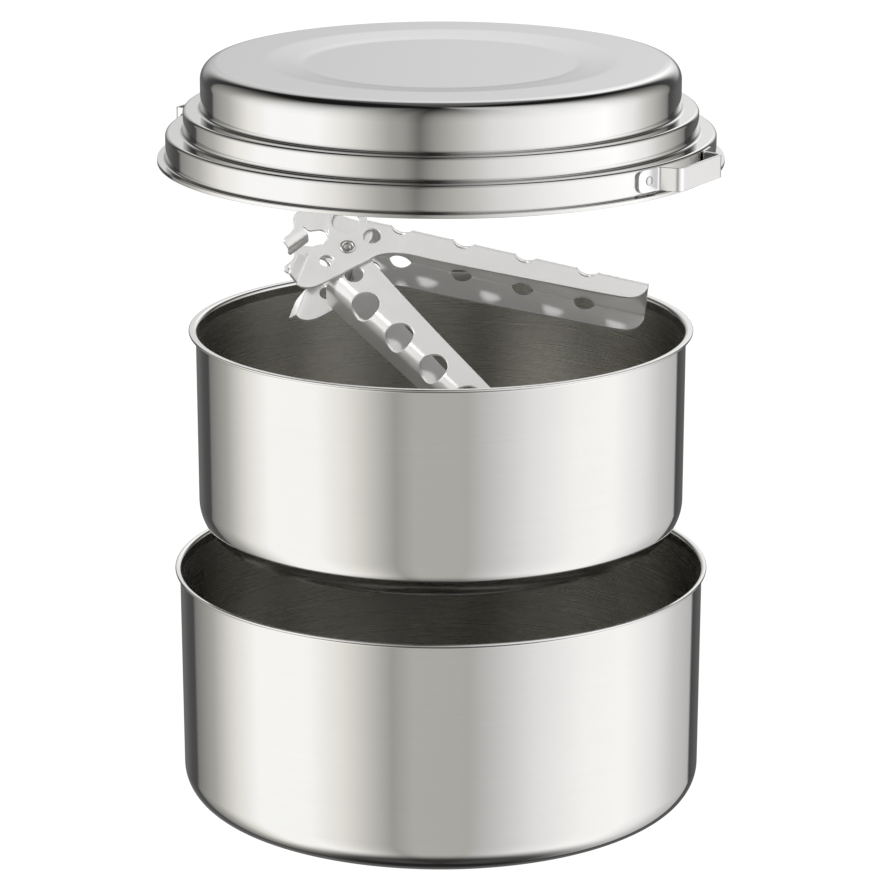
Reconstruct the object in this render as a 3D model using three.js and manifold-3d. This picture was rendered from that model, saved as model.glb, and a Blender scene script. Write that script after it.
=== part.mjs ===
// Camping cook pot set: two nesting stainless pots, a stepped lid that fits
// either pot, and a plier-type pot lifter. Millimetres, +Z up, base of the
// large pot on Z = 0. The pieces stand one above the other, pulled apart along
// their common axis; every slide leads down to the packed set.
import * as THREE from "three";
import { mergeVertices } from "three/addons/utils/BufferGeometryUtils.js";
import Module from "manifold-3d";

const wasm = await Module();
wasm.setup();

const { degToRad, radToDeg } = THREE.MathUtils;

// ---- finishes ----------------------------------------------------------------
const FINISH = {
  pot: { color: 0xc9cac8, roughness: 0.22, metalness: 1 },
  lid: { color: 0xcdcdcb, roughness: 0.26, metalness: 1 },
  bracket: { color: 0xd2d2d0, roughness: 0.2, metalness: 1 },
  bracketRivet: { color: 0xc4c4c2, roughness: 0.25, metalness: 1 },
  lifterArm: { color: 0xcdcbca, roughness: 0.4, metalness: 0.9 },
  pivotRivet: { color: 0xb9b9b7, roughness: 0.3, metalness: 1 },
};

// ---- shared helpers ----------------------------------------------------------
const OVERSHOOT = 1; // how far a cutter runs past the surface it cuts

// Closed Manifold body from a geometry, its coincident vertices welded.
function solid(geometry) {
  geometry.deleteAttribute("normal");
  geometry.deleteAttribute("uv");
  const welded = mergeVertices(geometry, 1e-4);
  return new wasm.Manifold(
    new wasm.Mesh({
      numProp: 3,
      vertProperties: new Float32Array(welded.attributes.position.array),
      triVerts: new Uint32Array(welded.index.array),
    }),
  );
}

// Named, flat-shaded mesh of a Manifold body.
function piece(name, body, finish) {
  const { vertProperties, triVerts } = body.getMesh();
  const indexed = new THREE.BufferGeometry();
  indexed.setAttribute("position", new THREE.BufferAttribute(new Float32Array(vertProperties), 3));
  indexed.setIndex(new THREE.BufferAttribute(new Uint32Array(triVerts), 1));
  const geometry = indexed.toNonIndexed();
  geometry.computeVertexNormals();
  const mesh = new THREE.Mesh(geometry, new THREE.MeshStandardMaterial(finish));
  mesh.name = name;
  return mesh;
}

const point = (x, y) => new THREE.Vector2(x, y);
const points = (pairs) => pairs.map(([x, y]) => point(x, y));

// Points along an arc, angles in degrees, both ends included.
function arc(centreX, centreY, radius, startAngle, endAngle, steps) {
  const out = [];
  for (let i = 0; i <= steps; i++) {
    const angle = degToRad(startAngle + ((endAngle - startAngle) * i) / steps);
    out.push(point(centreX + radius * Math.cos(angle), centreY + radius * Math.sin(angle)));
  }
  return out;
}

// Body turned about Z from a profile in (radius, z). The profile starts and
// ends on the axis and runs up the outside, so that the faces point outwards.
function turned(profile, facets) {
  return solid(new THREE.LatheGeometry(profile, facets).rotateX(Math.PI / 2));
}

function extrusion(outline, depth) {
  return new THREE.ExtrudeGeometry(new THREE.Shape(outline), { depth, bevelEnabled: false });
}

// Prism over a closed outline in the XY plane, between two Z levels.
function prism(outline, zMin, zMax) {
  return solid(extrusion(outline, zMax - zMin).translate(0, 0, zMin));
}

function box([xMin, xMax], [yMin, yMax], [zMin, zMax]) {
  const outline = points([[xMin, yMin], [xMax, yMin], [xMax, yMax], [xMin, yMax]]);
  return prism(outline, zMin, zMax);
}

function rod(radius, from, to, facets) {
  const start = new THREE.Vector3(...from);
  const end = new THREE.Vector3(...to);
  const span = end.clone().sub(start);
  const middle = start.clone().add(end).divideScalar(2);
  const geometry = new THREE.CylinderGeometry(radius, radius, span.length(), facets);
  const up = new THREE.Vector3(0, 1, 0);
  geometry.applyQuaternion(new THREE.Quaternion().setFromUnitVectors(up, span.normalize()));
  return solid(geometry.translate(middle.x, middle.y, middle.z));
}

// ---- pots --------------------------------------------------------------------
const ROUND_FACETS = 48; // round the pots and the lid

// Outside radii of the lip, the wall at its top and at its base; the height;
// the radius of the bottom corner; the level the pot stands on.
const LARGE = { lip: 92.6, top: 90.9, base: 90.4, height: 83.0, corner: 11.5, z: 0 };
const SMALL = { lip: 86.6, top: 84.1, base: 83.8, height: 74.7, corner: 14.5, z: 93.0 };
const POT = {
  sheet: 0.5,
  lipThick: 0.9, // height of the outward lip
  crease: 1.1, // radius of the crease below the lip
  mouth: 1.4, // radius of the inside edge of the mouth
};

function pot({ lip, top, base, height, corner, z }) {
  const { sheet, lipThick, crease, mouth } = POT;
  const lipRound = lipThick / 2; // the lip ends in a half round
  const profile = [
    point(0, 0),
    ...arc(base - corner, corner, corner, -90, 0, 6),
    ...arc(top + crease, height - lipThick - crease, crease, 180, 90, 3),
    ...arc(lip - lipRound, height - lipRound, lipRound, -90, 90, 3),
    ...arc(top - sheet + mouth, height - mouth, mouth, 90, 180, 3),
    ...arc(base - corner, corner, corner - sheet, 0, -90, 6),
    point(0, sheet),
  ];
  return turned(profile.map((p) => point(p.x, p.y + z)), ROUND_FACETS);
}

// ---- lid ---------------------------------------------------------------------
const TIER_OVER_LIP = 0.7; // a tier's outside radius beyond the lip of its pot

const LID = {
  sheet: 0.4,
  z: 226.3, // underside of the lid's lip
  lip: 96.2, // outside radius of the lip
  lipThick: 1.3,
  lipRoot: 0.9, // radius where the lip meets the lowest tier
  lowRadius: LARGE.lip + TIER_OVER_LIP,
  lowStep: 236.5, // level of the step above the lowest tier
  midRadius: SMALL.lip + TIER_OVER_LIP,
  midStep: 244.3, // level of the step above the middle tier
  topRadius: 81.3,
  top: 260.2, // level of the plateau
  plateauEdge: 6.0, // outside radius of the rounded plateau edge
  shoulder: 1.3, // outside radius at the top of a tier
  root: 1.2, // outside radius at the foot of a tier
  flareRise: 0.5, // small flare inside the lip: its height
  flareOut: 0.1, // and its reach beyond the lowest tier
};

// Dish pressed in the plateau, a shallow cone steeper towards its foot:
// radius, depth below the plateau.
const LID_DISH = [[59.5, 0], [49.5, 0.75], [46.0, 1.15], [0, 1.15]];

// One face of the lid from the lowest tier up to the axis, set in from the
// outside by `inset`.
function lidFace(inset) {
  const { lowRadius, lowStep, midRadius, midStep, topRadius, top } = LID;
  const { shoulder, root, plateauEdge } = LID;
  const steps = [[lowRadius, lowStep, midRadius], [midRadius, midStep, topRadius]];
  return [
    ...steps.flatMap(([radius, level, nextRadius]) => [
      ...arc(radius - shoulder, level - shoulder, shoulder - inset, 0, 90, 2),
      ...arc(nextRadius + root, level + root, root + inset, -90, -180, 2),
    ]),
    ...arc(topRadius - plateauEdge, top - plateauEdge, plateauEdge - inset, 0, 90, 4),
    ...LID_DISH.map(([radius, drop]) => point(radius, top - drop - inset)),
  ];
}

function lidShell() {
  const { sheet, z, lip, lipThick, lipRoot, lowRadius, flareRise, flareOut } = LID;
  const lipRound = lipThick / 2;
  // down the inside from the crown, round the lip, back up the outside
  const profile = [
    ...lidFace(sheet).reverse(),
    point(lowRadius - sheet, z + flareRise),
    point(lowRadius + flareOut, z),
    ...arc(lip - lipRound, z + lipRound, lipRound, -90, 90, 3),
    ...arc(lowRadius + lipRoot, z + lipThick + lipRoot, lipRoot, -90, -180, 2),
    ...lidFace(0),
  ];
  return turned(profile, ROUND_FACETS);
}

// ---- lid brackets ------------------------------------------------------------
const BRACKET = {
  azimuth: -32, // degrees from +X, negative towards -Y
  z: 228.4, // lower edge of the strap
  height: 7.7,
  thick: 0.9,
  standOff: 6.4, // inner side of the flat face, clear of the tier
  faceHalf: 13.9, // half length of the flat face, on its inner side
  faceExtra: 0.6, // added to that half length on the outer side
  tabIn: 15.1, // arc lengths along the tier where a tab starts and ends
  tabOut: 25.1,
  tabExtra: 0.75, // later start of the tab on its outer side
  gap: 0.12, // between the tab and the lid, so they never share a face
  corner: 2.6, // radius of the corners of the strap's ends
};
const BRACKET_INNER_RADIUS = LID.lowRadius + BRACKET.gap;

const RIVET = { radius: 1.5, dome: 0.5, lift: 0.02, facets: 14 };

// Degrees round the lid for an arc length along its lowest tier.
const tierAngle = (length) => radToDeg(length / LID.lowRadius);

// One side of the strap in plan, from the -Y tab end to the +Y tab end.
function strapSide(radius, tabStart, faceX, faceHalf) {
  const half = [
    point(faceX, faceHalf),
    ...arc(0, 0, radius, tierAngle(tabStart), tierAngle(BRACKET.tabOut), 4),
  ];
  const mirrored = half.map((p) => point(p.x, -p.y)).reverse();
  return [...mirrored, ...half];
}

// Cutter that rounds one corner of a strap end: a block less a rod, laid out
// with X radial and Y along the band, then swung to the tab's end.
function strapCornerCutter(side, isTop) {
  const { z, height, corner, tabOut } = BRACKET;
  const centreY = -side * corner;
  const centreZ = isTop ? z + height - corner : z + corner;
  const outerZ = isTop ? z + height + OVERSHOOT : z - OVERSHOOT;
  const ascending = (a, b) => a - b;
  const rangeY = [centreY, side * OVERSHOOT].sort(ascending);
  const rangeZ = [centreZ, outerZ].sort(ascending);
  return box([-3, 4], rangeY, rangeZ)
    .subtract(rod(corner, [-4, centreY, centreZ], [5, centreY, centreZ], 24))
    .translate([BRACKET_INNER_RADIUS, 0, 0])
    .rotate([0, 0, side * tierAngle(tabOut)]);
}

// Strap with two tabs wrapped on the lowest tier, two joggles and a flat face.
function bracket(azimuth) {
  const { z, height, thick, standOff, faceHalf, faceExtra, tabIn, tabExtra } = BRACKET;
  const radius = BRACKET_INNER_RADIUS;
  const faceX = LID.lowRadius + standOff;
  const inside = strapSide(radius, tabIn, faceX, faceHalf);
  const outside = strapSide(radius + thick, tabIn + tabExtra, faceX + thick, faceHalf + faceExtra);
  let strap = prism([...inside, ...outside.reverse()], z, z + height);
  for (const side of [-1, 1]) {
    for (const isTop of [false, true]) {
      strap = strap.subtract(strapCornerCutter(side, isTop));
    }
  }
  return strap.rotate([0, 0, azimuth]);
}

// Low dome in the middle of a tab, its foot lifted clear of the tab.
function bracketRivet(azimuth, side) {
  const { z, height, thick, tabIn, tabOut } = BRACKET;
  const profile = [
    point(0, 0),
    ...arc(0, 0, 1, 0, 60, 2).map((p) => point(RIVET.radius * p.x, RIVET.dome * p.y)),
    point(0, RIVET.dome),
  ];
  const geometry = new THREE.LatheGeometry(profile, RIVET.facets);
  geometry.rotateZ(-Math.PI / 2); // axis from +Y to +X
  geometry.translate(BRACKET_INNER_RADIUS + thick + RIVET.lift, 0, z + height / 2);
  geometry.rotateZ(degToRad(azimuth + (side * tierAngle(tabIn + tabOut)) / 2));
  return solid(geometry);
}

// ---- pot lifter --------------------------------------------------------------
// Local frame: X along the outer arm, Y from its back towards its open side,
// Z along the pivot from the upper plate down to the lower one.
const LIFTER = {
  pivot: [-32.58, 28.0, 188.97], // on the outer face of the outer arm's upper plate
  axis: [-0.024, 0.685, -0.728],
  along: [0.968, -0.166, -0.188],
  open: 32.5, // degrees the inner arm is swung open
  sheet: 1.1,
};

// Both arms are channels: `width` over the plates, `fold` the Y of the back,
// `legEnd` the Y the legs run to, `bend` the outside radius of the folds,
// `start` and `end` the X range before trimming, `webStart` the X where the
// back begins. A row of holes runs along each: radius, pitch and first X.
const OUTER = {
  width: 21.8, fold: -13.9, legEnd: 24, bend: 1.3, start: -14, end: 106, webStart: 3.6,
  holes: { count: 4, radius: 3.9, pitch: 22.3, first: 16.1 },
};
const INNER = {
  width: 19.0, fold: 14.3, legEnd: -14, bend: 5.4, start: -26, end: 102.5, webStart: 4.6,
  holes: { count: 5, radius: 4.9, pitch: 17.2, first: 21.0 },
};
const INNER_NEAR = (OUTER.width - INNER.width) / 2; // Z of the inner arm's upper face
const INNER_FAR = INNER_NEAR + INNER.width;

// Radii and thicknesses of the hollow rivet; `bore` is its hole in the plates.
const PIVOT = {
  shank: 1.9, bore: 2.2, head: 2.75, headThick: 0.55,
  dish: 1.3, // radius of the hollow in each end
  hollow: 0.5, // depth of its floor inside the outer plate's face
  gap: 0.06, // between the heads and the plates
  facets: 18,
};
const HOLE_FACETS = 22;

// Side view of the outer arm, back at -Y: x, y.
const OUTER_OUTLINE = points([
  [-9.2, -14.3], [-9.6, -9.4], [-9.1, -6.8], [-7.9, -3.9], [-7.3, -1.2], [-7.9, 0.7],
  [-10.1, 1.7], [-11.7, 3.0], [-12.5, 5.0], [-12.6, 7.2], [-13.3, 18.2], [-12.8, 19.4],
  [-11.4, 20.1], [-9.2, 20.0], [-7.0, 19.0], [-4.9, 17.2], [1.9, 9.9], [8.3, 3.1],
  [11.0, 0.4], [14.6, -1.5], [18.5, -2.5], [23.0, -2.9], [31.0, -2.9], [62.9, -3.9],
  [98.2, -5.5], [100.6, -6.0], [102.6, -7.2], [104.1, -9.1], [104.9, -11.2], [104.9, -14.3],
]);

// Side view of the inner arm, back at +Y: x, y.
const INNER_OUTLINE = points([
  [101.5, 15.0], [101.5, 6.4], [101.0, 4.9], [99.6, 3.9], [97.6, 3.5], [76.2, 2.1],
  [44.8, 0.1], [14.0, -2.6], [8.9, -3.3], [5.4, -4.6], [3.3, -6.8], [2.3, -9.4],
  [0.6, -11.4], [-2.0, -12.2], [-5.0, -11.8], [-8.2, -9.9], [-13.0, -7.8], [-18.0, -5.8],
  [-21.6, -2.6], [-23.2, 0.8], [-23.5, 3.4], [-22.4, 5.5], [-20.2, 7.0], [-19.0, 8.6],
  [-18.5, 10.6], [-18.5, 12.4], [-18.0, 13.6], [-17.1, 14.4], [-17.1, 5.4], [-14.4, 4.9],
  [-13.7, 2.9], [-12.5, 1.4], [-10.8, 0.8], [-9.1, 1.2], [-8.0, 2.4], [-7.5, 4.2],
  [-6.6, 6.2], [-4.2, 7.8], [-0.6, 8.6], [2.6, 8.9], [4.6, 9.0], [4.6, 15.0],
]);

// The lower plate of the inner arm stops short of the upper one at the jaw: x, y.
const INNER_LOWER_CUT = points([
  [-8.0, -9.9], [-22.6, 4.7], [-30.0, 4.7], [-30.0, -16.0], [-8.0, -16.0],
]);

// Holes through both plates of the outer arm's head: x, y, radius, facets.
const OUTER_HEAD_HOLES = [
  [-3.6, -10.4, 4.9, 32],
  [7.0, -6.8, 3.15, HOLE_FACETS],
  [-5.6, 7.4, 2.45, HOLE_FACETS],
  [0, 0, PIVOT.bore, HOLE_FACETS],
];

// Hole in the upper plate of the inner arm's head.
const INNER_HEAD_HOLE = { x: 9.2, y: 5.5, radius: 3.5, reach: 2.0 };

// Flared tab of the outer jaw, bent about the line from `start` to `end`.
const JAW_TAB = {
  start: point(-12.55, 7.4),
  end: point(-13.2, 18.8),
  out: new THREE.Vector3(-0.998, -0.055, 0), // in-plane direction it leaves in
  width: 5.4,
  turn: 58, // degrees out of the plate
};

// Flange of the inner jaw: outer face X, bend radius, depth into the channel,
// overlap on the plate, and the Y range it covers.
const JAW_FLANGE = { x: -14.2, bend: 3.0, depth: 5.6, overlap: 0.4, yMax: 14.4, length: 9.0 };

// U section in YZ, extruded along X. Legs run from the back at `fold` to `legEnd`.
function channel({ fold, legEnd, bend, start, end }, near, far) {
  const { sheet } = LIFTER;
  const direction = Math.sign(legEnd - fold);
  const leg = Math.abs(legEnd - fold);
  const innerBend = Math.max(bend - sheet, 0.3);
  const inset = sheet + innerBend;
  // drawn with the back at y = 0 and the legs towards +y
  const section = [
    point(leg, near),
    ...arc(bend, near + bend, bend, -90, -180, 4),
    ...arc(bend, far - bend, bend, 180, 90, 4),
    point(leg, far),
    point(leg, far - sheet),
    ...arc(inset, far - inset, innerBend, 90, 180, 4),
    ...arc(inset, near + inset, innerBend, 180, 270, 4),
    point(leg, near + sheet),
  ].map((p) => point(fold + direction * p.x, p.y));
  const geometry = extrusion(section, end - start).translate(0, 0, start);
  // the section's x, y and the extrusion's z become Y, Z and X
  geometry.applyMatrix4(new THREE.Matrix4().set(
    0, 0, 1, 0,
    1, 0, 0, 0,
    0, 1, 0, 0,
    0, 0, 0, 1,
  ));
  return solid(geometry);
}

// `side` is -1 on the upper plate and +1 on the lower one.
function jawTab(plateZ, side) {
  const { start, end, out, width, turn } = JAW_TAB;
  const { sheet } = LIFTER;
  const bendLine = new THREE.Vector3(end.x - start.x, end.y - start.y, 0);
  const length = bendLine.length();
  // x along the bend line, y away from the plate
  const outline = points([
    [0, -0.35], [length, -0.35], [length, 0.3], [length - 0.5, width], [3.2, width], [0, 0.6],
  ]);
  const geometry = extrusion(outline, sheet);
  geometry.translate(0, 0, side < 0 ? 0 : -sheet);
  geometry.rotateX(degToRad(side * turn)); // away from the inside of the channel
  const frame = new THREE.Matrix4().makeBasis(
    bendLine.normalize(),
    out.clone().normalize(),
    new THREE.Vector3(0, 0, 1),
  );
  return solid(geometry.applyMatrix4(frame.setPosition(start.x, start.y, plateZ)));
}

// The plate rolls over into the channel; `direction` is the Z sense of the roll.
function jawFlange(plateZ, direction) {
  const { x, bend, depth, overlap, yMax, length } = JAW_FLANGE;
  const { sheet } = LIFTER;
  const section = [
    point(x - bend - overlap, 0),
    ...arc(x - bend, bend, bend, -90, 0, 5),
    point(x, depth),
    point(x - sheet, depth),
    ...arc(x - bend, bend, bend - sheet, 0, -90, 5),
    point(x - bend - overlap, sheet),
  ].map((p) => point(p.x, plateZ + direction * p.y));
  // the section lies in XZ and runs from yMax towards -Y
  return solid(extrusion(section, length).rotateX(Math.PI / 2).translate(0, yMax, 0));
}

function outerArm() {
  const { width, fold, webStart, holes } = OUTER;
  const { sheet } = LIFTER;
  let body = channel(OUTER, 0, width);
  // no back along the head: the inner arm's jaw swings through there
  body = body.subtract(box([-20, webStart], [fold - 1, fold + 1.7], [sheet, width - sheet]));
  body = body.intersect(prism(OUTER_OUTLINE, -OVERSHOOT, width + OVERSHOOT));
  body = body.add(jawTab(0, -1)).add(jawTab(width, 1));

  // holes on both folds, each cut through the plate and through the back
  const folds = [[0, -OVERSHOOT, 2], [width, width - 2, width + OVERSHOOT]];
  for (let i = 0; i < holes.count; i++) {
    const x = holes.first + i * holes.pitch;
    for (const [z, zMin, zMax] of folds) {
      const throughPlate = rod(holes.radius, [x, fold, zMin], [x, fold, zMax], HOLE_FACETS);
      const backFrom = [x, fold - OVERSHOOT, z];
      const throughBack = rod(holes.radius, backFrom, [x, fold + 2.2, z], HOLE_FACETS);
      body = body.subtract(throughPlate).subtract(throughBack);
    }
  }
  for (const [x, y, radius, facets] of OUTER_HEAD_HOLES) {
    body = body.subtract(rod(radius, [x, y, -OVERSHOOT], [x, y, width + OVERSHOOT], facets));
  }
  return body;
}

function innerArm() {
  const { fold, start, webStart, holes } = INNER;
  const { sheet } = LIFTER;
  const near = INNER_NEAR;
  const far = INNER_FAR;
  const above = near - OVERSHOOT;
  const below = far + OVERSHOOT;
  let body = channel(INNER, near, far);
  // no back along the head; its plates are laid flat where the folds curved
  body = body.subtract(box([-30, webStart], [6, 20], [above, below]));
  for (const range of [[near, near + sheet], [far - sheet, far]]) {
    body = body.add(box([start, webStart], [-14, 18], range));
  }
  body = body.intersect(prism(INNER_OUTLINE, above, below));
  body = body.subtract(prism(INNER_LOWER_CUT, near + 5, below));
  body = body.add(jawFlange(near, 1)).add(jawFlange(far, -1));

  // holes along the upper shoulder, drilled 30 degrees off square to the plate
  const sine = Math.sin(Math.PI / 6);
  const cosine = Math.cos(Math.PI / 6);
  const y = fold - 3.1;
  const z = near + 0.6;
  for (let i = 0; i < holes.count; i++) {
    const x = holes.first + i * holes.pitch;
    const from = [x, y + 5 * sine, z - 5 * cosine];
    const to = [x, y - 7.5 * sine, z + 7.5 * cosine];
    body = body.subtract(rod(holes.radius, from, to, 28));
  }
  const head = INNER_HEAD_HOLE;
  const headTo = [head.x, head.y, near + head.reach];
  body = body.subtract(rod(head.radius, [head.x, head.y, above], headTo, HOLE_FACETS));
  return body.subtract(rod(PIVOT.bore, [0, 0, above], [0, 0, below], HOLE_FACETS));
}

// Spool, hollow at both ends, its rims rolled over.
function pivotRivet() {
  const { shank, head, headThick, dish, hollow, gap, facets } = PIVOT;
  const upperEnd = points([
    [0, hollow],
    [dish, hollow],
    [dish + 0.45, -headThick * 0.6 - gap],
    [dish + 0.8, -headThick - gap],
    [head - 0.3, -headThick * 0.85 - gap],
    [head, -headThick * 0.3 - gap],
    [head, -gap],
    [shank, -gap],
  ]);
  const lowerEnd = upperEnd.map((p) => point(p.x, OUTER.width - p.y)).reverse();
  return turned([...upperEnd, ...lowerEnd], facets);
}

function potLifter() {
  // frame squared up from the pivot axis and the length of the outer arm
  const zAxis = new THREE.Vector3(...LIFTER.axis).normalize();
  const xAxis = new THREE.Vector3(...LIFTER.along);
  xAxis.addScaledVector(zAxis, -xAxis.dot(zAxis)).normalize();
  const yAxis = new THREE.Vector3().crossVectors(zAxis, xAxis);

  const lifter = new THREE.Group();
  lifter.matrixAutoUpdate = false;
  lifter.matrix.makeBasis(xAxis, yAxis, zAxis).setPosition(...LIFTER.pivot);
  lifter.add(piece("lifter_outer_arm", outerArm(), FINISH.lifterArm));
  lifter.add(piece("lifter_pivot_rivet", pivotRivet(), FINISH.pivotRivet));

  const swing = new THREE.Group();
  swing.rotation.z = degToRad(LIFTER.open);
  swing.add(piece("lifter_inner_arm", innerArm(), FINISH.lifterArm));
  lifter.add(swing);
  return lifter;
}

// ---- assembly ----------------------------------------------------------------
const group = new THREE.Group();
group.name = "camping_cook_pot_set";

group.add(piece("large_pot", pot(LARGE), FINISH.pot));
group.add(piece("small_pot", pot(SMALL), FINISH.pot));
group.add(piece("lid_shell", lidShell(), FINISH.lid));

const rightAzimuth = BRACKET.azimuth;
const leftAzimuth = BRACKET.azimuth + 180;
group.add(piece("lid_bracket_right", bracket(rightAzimuth), FINISH.bracket));
group.add(piece("lid_bracket_left", bracket(leftAzimuth), FINISH.bracket));

let rivetNumber = 1;
for (const azimuth of [rightAzimuth, leftAzimuth]) {
  for (const side of [-1, 1]) {
    const name = `bracket_rivet_${rivetNumber++}`;
    group.add(piece(name, bracketRivet(azimuth, side), FINISH.bracketRivet));
  }
}
group.add(potLifter());

export default group;
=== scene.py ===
"""Looks for a camping cook pot set, shown as a stack taken apart.

The pots and the lid stand round the Z axis: large pot on the floor, small pot over it, lid on
top. The folded sheet pot lifter floats between the small pot and the lid, its arms running
roughly along +X. The camera looks from -Y. Lengths are in millimetres unless noted; the studio
section is in metres.
"""

import math
from types import SimpleNamespace as Dims

import bmesh
import bpy
import numpy as np
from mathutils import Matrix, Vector, geometry


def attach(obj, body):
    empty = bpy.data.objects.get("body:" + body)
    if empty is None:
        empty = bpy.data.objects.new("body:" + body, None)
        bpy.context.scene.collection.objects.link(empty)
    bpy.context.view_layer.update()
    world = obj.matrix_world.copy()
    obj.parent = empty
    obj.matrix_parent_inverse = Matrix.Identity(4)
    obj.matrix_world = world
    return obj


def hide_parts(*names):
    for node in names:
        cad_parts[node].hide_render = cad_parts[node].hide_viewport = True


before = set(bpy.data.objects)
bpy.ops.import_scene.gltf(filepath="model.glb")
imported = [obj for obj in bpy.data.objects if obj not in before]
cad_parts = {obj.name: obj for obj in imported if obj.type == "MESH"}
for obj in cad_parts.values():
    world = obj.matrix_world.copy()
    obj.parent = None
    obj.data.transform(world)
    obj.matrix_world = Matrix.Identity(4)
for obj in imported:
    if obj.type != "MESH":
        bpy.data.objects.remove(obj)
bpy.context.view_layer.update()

MM = 0.001
scene = bpy.context.scene

# ---- dimensions of the turned parts ----------------------------------------------
POT_SEGMENTS = 288
# lip, top, base: outer radii of the lip, of the wall under it and of the wall's foot
LARGE = Dims(lip=92.54, top=90.9, base=90.4, height=83.0, corner=11.5, z=0.0)
SMALL = Dims(lip=86.54, top=84.1, base=83.8, height=74.7, corner=14.5, z=93.0)
POT_SHEET = 0.5
LIP_THICK = 0.9
LIP_CREASE = 1.1  # radius under the lip
LIP_ROLL = 1.4  # radius from the lip's top into the pot
FLOOR_MARGIN = 8.0  # flat floor kept inside the corner's start

LID_STEP = 6.0  # each wall stands this far inside the one below
LID = Dims(
    z=226.3,
    lip=96.14, lip_thick=1.3, lip_root=0.9, lip_edge=0.18,
    wall_low=93.3, wall_mid=93.3 - LID_STEP, wall_top=93.3 - 2 * LID_STEP,
    step_low=236.5, step_high=244.3, top=260.2,
    shoulder=1.3, root=1.2, edge=6.0,  # radii: step edges, step roots, the top's edge
    dish_drop=1.15, sheet=0.4,
)
# the dish in the lid's top: radius, height from the top; the end points only set directions
LID_DISH = [(66.0, 0.0), (59.5, 0.0), (49.5, -0.75), (46.0, -LID.dish_drop), (38.0, -LID.dish_drop)]
LID_DISH_EASE = (1.1, 1.3, 0.8)  # how far each inner crease is eased to either side

BRACKET = Dims(
    azimuths=(-32.0, 148.0), z=228.4, height=7.7, thick=0.9,
    gap=0.12, stand_off=6.4,  # clearance of the tabs and of the face from the lid's wall
    face_half=13.9, tab_in=15.1, tab_out=25.1,  # along the wall from the bracket's middle
    tab_bend=1.5, face_bend=1.7, end_radius=2.6, edge=0.16,
)
RIVET_RADIUS, RIVET_DOME = 1.5, 0.5
# radius, height of the head, as shares of nothing: the rim is in millimetres
RIVET_PROFILE = [
    (0.0, 0.0), (RIVET_RADIUS * 0.9, 0.0), (RIVET_RADIUS, 0.05), (RIVET_RADIUS, 0.14),
    (RIVET_RADIUS * 0.93, 0.22), (RIVET_RADIUS * 0.80, 0.27), (RIVET_RADIUS * 0.66, 0.36),
    (RIVET_RADIUS * 0.45, RIVET_DOME * 0.9), (RIVET_RADIUS * 0.22, RIVET_DOME * 0.985),
    (0.0, RIVET_DOME),
]


# ---- node helpers ----------------------------------------------------------------
class Nodes:
    """A node tree with short calls; any value may be a number, a tuple or a socket."""

    def __init__(self, tree):
        self.tree = tree
        tree.nodes.clear()

    def add(self, kind, inputs=None, **props):
        node = self.tree.nodes.new(kind)
        for key, value in props.items():
            setattr(node, key, value)
        for key, value in (inputs or {}).items():
            if isinstance(value, bpy.types.NodeSocket):
                self.tree.links.new(value, node.inputs[key])
            else:
                node.inputs[key].default_value = value
        return node

    def calc(self, operation, *args, clamp=False):
        inputs = dict(enumerate(args))
        return self.add("ShaderNodeMath", inputs, operation=operation, use_clamp=clamp).outputs[0]

    def plus(self, a, b):
        return self.calc("ADD", a, b)

    def times(self, a, b):
        return self.calc("MULTIPLY", a, b)

    def swing(self, texture, amount):
        """A 0..1 texture moved to swing round zero."""
        return self.times(self.calc("SUBTRACT", texture, 0.5), amount)

    def scaled(self, vector, factor):
        inputs = {0: vector, "Scale": factor}
        return self.add("ShaderNodeVectorMath", inputs, operation="SCALE").outputs[0]

    def step(self, value, start, end, low=0.0, high=1.0):
        """A smooth step from low to high."""
        inputs = {"Value": value, "From Min": start, "From Max": end, "To Min": low, "To Max": high}
        node = self.add("ShaderNodeMapRange", inputs, interpolation_type="SMOOTHSTEP", clamp=True)
        return node.outputs["Result"]

    def mix(self, factor, a, b):
        return self.add("ShaderNodeMix", {0: factor, 6: a, 7: b}, data_type="RGBA").outputs[2]

    def ramp(self, factor, stops):
        node = self.add("ShaderNodeValToRGB", {0: factor})
        ramp = node.color_ramp
        ramp.interpolation = "LINEAR"
        while len(ramp.elements) < len(stops):
            ramp.elements.new(1.0)
        for element, (position, colour) in zip(ramp.elements, stops):
            element.position = position
            element.color = colour
        return node.outputs[0]

    def combine(self, x, y, z):
        return self.add("ShaderNodeCombineXYZ", {0: x, 1: y, 2: z}).outputs[0]

    def split(self, vector):
        return self.add("ShaderNodeSeparateXYZ", {0: vector}).outputs

    def noise(self, vector, scale, detail, roughness):
        inputs = {"Vector": vector, "Scale": scale, "Detail": detail, "Roughness": roughness}
        return self.add("ShaderNodeTexNoise", inputs).outputs["Fac"]

    def bump(self, height, distance):
        inputs = {"Strength": 1.0, "Distance": distance * MM, "Height": height}
        return self.add("ShaderNodeBump", inputs).outputs[0]


def new_material(name):
    """A material, its emptied node tree and its object coordinates."""
    material = bpy.data.materials.new(name)
    material.use_nodes = True
    n = Nodes(material.node_tree)
    return material, n, n.add("ShaderNodeTexCoord").outputs["Object"]


# ---- studio world ----------------------------------------------------------------
# Two tall soft boxes left and right of the camera, a narrow grey gap between them, dark flags
# beyond, a pale wall behind the set. Only reflections see it in detail.
# Azimuths are in degrees: 0 at the camera (-Y), positive towards +X.
STEEL_F0 = 0.64  # the tables give levels as seen in steel of this reflectance
WARM, COOL, NEUTRAL = (1.0, 0.985, 0.935), (1.0, 0.99, 1.0), (1.0, 1.0, 1.0)
BAND_SPLIT = (-13.4, -12.2)  # elevations between which the low band gives way to the high one
FOOT = Dims(start=-72.0, end=-48.0, least=0.05, level=38)  # the boxes darken downwards
CEILING_LEVEL = 30
FADE_START = 11.0  # degrees below the horizon where the ceiling's fade starts
REACH_UNIT = 200.0  # degrees of elevation that a full ramp value stands for

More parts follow.
